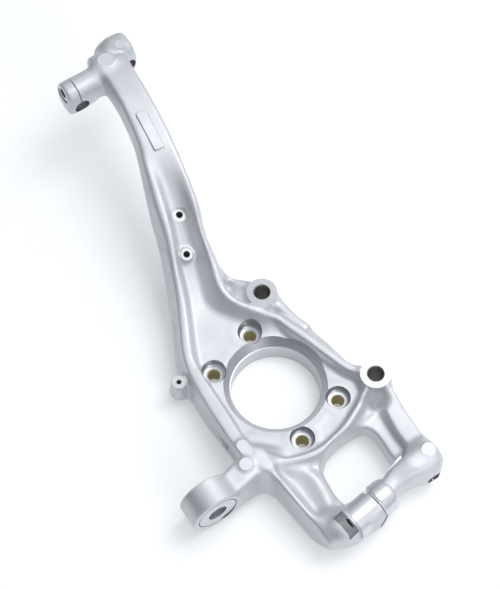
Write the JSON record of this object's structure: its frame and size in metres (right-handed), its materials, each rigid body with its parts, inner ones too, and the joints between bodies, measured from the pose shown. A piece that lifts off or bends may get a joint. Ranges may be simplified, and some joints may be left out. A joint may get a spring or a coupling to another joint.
{
  "type": "steering knuckle",
  "caption": "Forged aluminium suspension knuckle with a bearing bore, a goose neck, slit pin clamps at both ends, brake caliper bosses and a bushed steering eye.",
  "frame": {"origin": "on the wheel axis, in the plane of the bearing's bolting face", "axes": "+Z along the wheel axis, inboard; +Y along the long side of the bearing bolt rectangle, towards the goose neck; +X towards the caliper bosses"},
  "size_m": [0.3377, 0.5319, 0.116],
  "materials": {
    "forging": "bead blasted, satin",
    "bush": "turned, satin"
  },
  "bodies": {
    "root": {"knuckle": "forging", "tie_rod_bush": "bush"}
  },
  "joints": []
}
